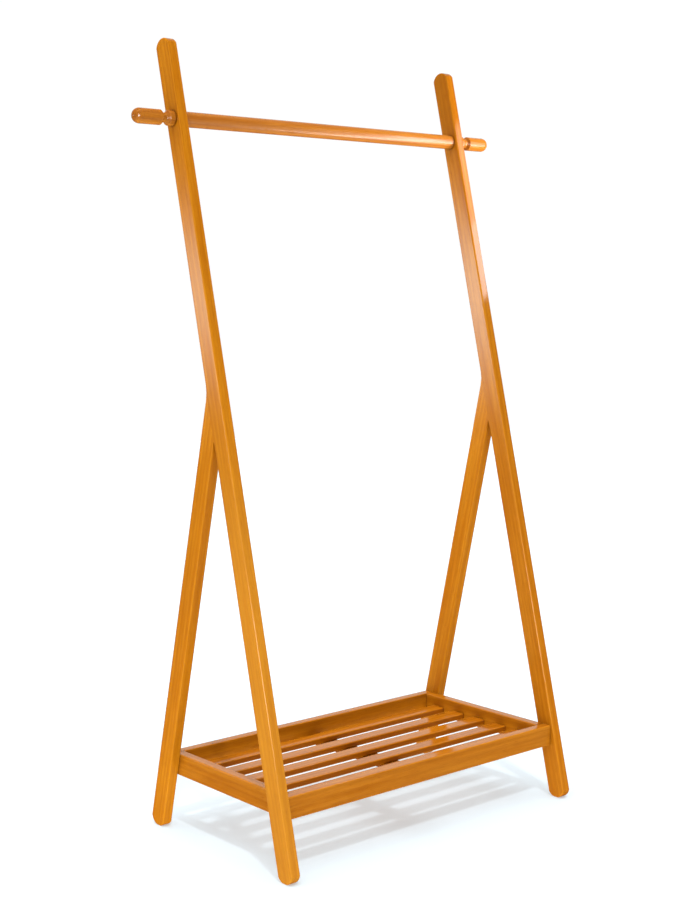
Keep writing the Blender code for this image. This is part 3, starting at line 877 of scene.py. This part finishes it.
def make_world():
    """White to the camera. Its light and its reflections are a studio, dark in front."""
    world = bpy.data.worlds.new("studio")
    bpy.context.scene.world = world
    world.use_nodes = True
    nodes = world.node_tree.nodes
    links = world.node_tree.links
    background = nodes["Background"]
    direction = add(nodes, "TexCoord").outputs["Generated"]

    def towards(glow):
        aim, closeness, strengths = glow
        dot = vector_math(nodes, links, "DOT_PRODUCT", direction, aim)
        return spread(nodes, links, dot, closeness, strengths)

    fill, *others = (towards(glow) for glow in FILL_GLOWS)
    for other in others:
        fill = arithmetic(nodes, links, "ADD", fill, other)

    split = add(nodes, "SeparateXYZ")
    links.new(direction, split.inputs["Vector"])
    height = split.outputs["Z"]
    foot = spread(nodes, links, height, *WALL_FOOT)
    wall = arithmetic(nodes, links, "MULTIPLY", towards(WALL_GLOW), foot)
    level = arithmetic(nodes, links, "ABSOLUTE", height, 0.0)
    edge = spread(nodes, links, level, *BAND_EDGE)
    band = arithmetic(nodes, links, "MULTIPLY", edge, towards(BAND_GLOW))
    mirrored = arithmetic(nodes, links, "ADD", wall, band)

    path = add(nodes, "LightPath")
    tint = blend(nodes, links, path.outputs["Is Glossy Ray"], WHITE, MIRROR_TINT)
    links.new(tint, background.inputs["Color"])
    strength = number_mix(nodes, links, path.outputs["Is Glossy Ray"], fill, mirrored)
    strength = number_mix(nodes, links, path.outputs["Is Camera Ray"], strength, BACKDROP)
    links.new(strength, background.inputs["Strength"])
    world.cycles.sampling_method = "NONE"


def hang_lamp(light, place, direction):
    lamp = bpy.data.objects.new(light.name, light)
    bpy.context.collection.objects.link(lamp)
    lamp.location = place
    lamp.rotation_euler = Vector(direction).to_track_quat("-Z", "Y").to_euler()
    return lamp


def make_shine(name, place, target, width, height, power, receivers):
    """A softbox that shows only in the lacquer of its receivers, or of every piece."""
    light = bpy.data.lights.new(name, "AREA")
    light.shape = "RECTANGLE"
    light.size = width
    light.size_y = height
    light.energy = power
    lamp = hang_lamp(light, place, Vector(target) - Vector(place))
    lamp.visible_camera = False
    lamp.visible_diffuse = False
    if receivers:
        lit = bpy.data.collections.new(f"lit_by_{name}")
        for piece in receivers:
            lit.objects.link(piece)
        lamp.light_linking.receiver_collection = lit


def make_lights(pegs, rail):
    sun = bpy.data.lights.new("key", "SUN")
    sun.energy = KEY_POWER
    sun.angle = KEY_SPREAD
    key = hang_lamp(sun, (0, 0, 0), KEY_DIRECTION)
    key.visible_glossy = False
    receivers = {"peg_spots": pegs, "rail_shine": [rail], "peg_shine": pegs}
    for shine in SHINES:
        make_shine(*shine, receivers.get(shine[0]))
    spot = bpy.data.lights.new("right_glow", "SPOT")
    spot.energy = GLOW_POWER
    spot.spot_size = GLOW_CONE
    spot.spot_blend = 1.0
    spot.shadow_soft_size = GLOW_SOFTNESS
    glow = hang_lamp(spot, GLOW_PLACE, GLOW_DIRECTION)
    glow.visible_glossy = False


def make_camera():
    data = bpy.data.cameras.new("camera")
    data.lens = CAMERA_LENS
    data.sensor_width = CAMERA_SENSOR
    data.shift_x, data.shift_y = CAMERA_SHIFT
    camera = bpy.data.objects.new("camera", data)
    bpy.context.collection.objects.link(camera)
    heading = Matrix.Rotation(CAMERA_HEADING, 4, "Z")
    tilt = Matrix.Rotation(math.pi / 2 + CAMERA_TILT, 4, "X")
    roll = Matrix.Rotation(CAMERA_ROLL, 4, "Z")
    camera.matrix_world = Matrix.Translation(CAMERA_PLACE) @ heading @ tilt @ roll
    bpy.context.scene.camera = camera


def main():
    make_camera()
    bpy.context.scene.view_settings.view_transform = "Standard"
    make_world()
    make_floor()
    pegs = []
    for side, name in SIDES:
        make_post(side, name)
        make_leg(side, name)
        pegs.append(make_peg(side, name))
    rail = make_hanging_rail()
    make_lights(pegs, rail)
    make_tray()
    finish_hardware()


main()
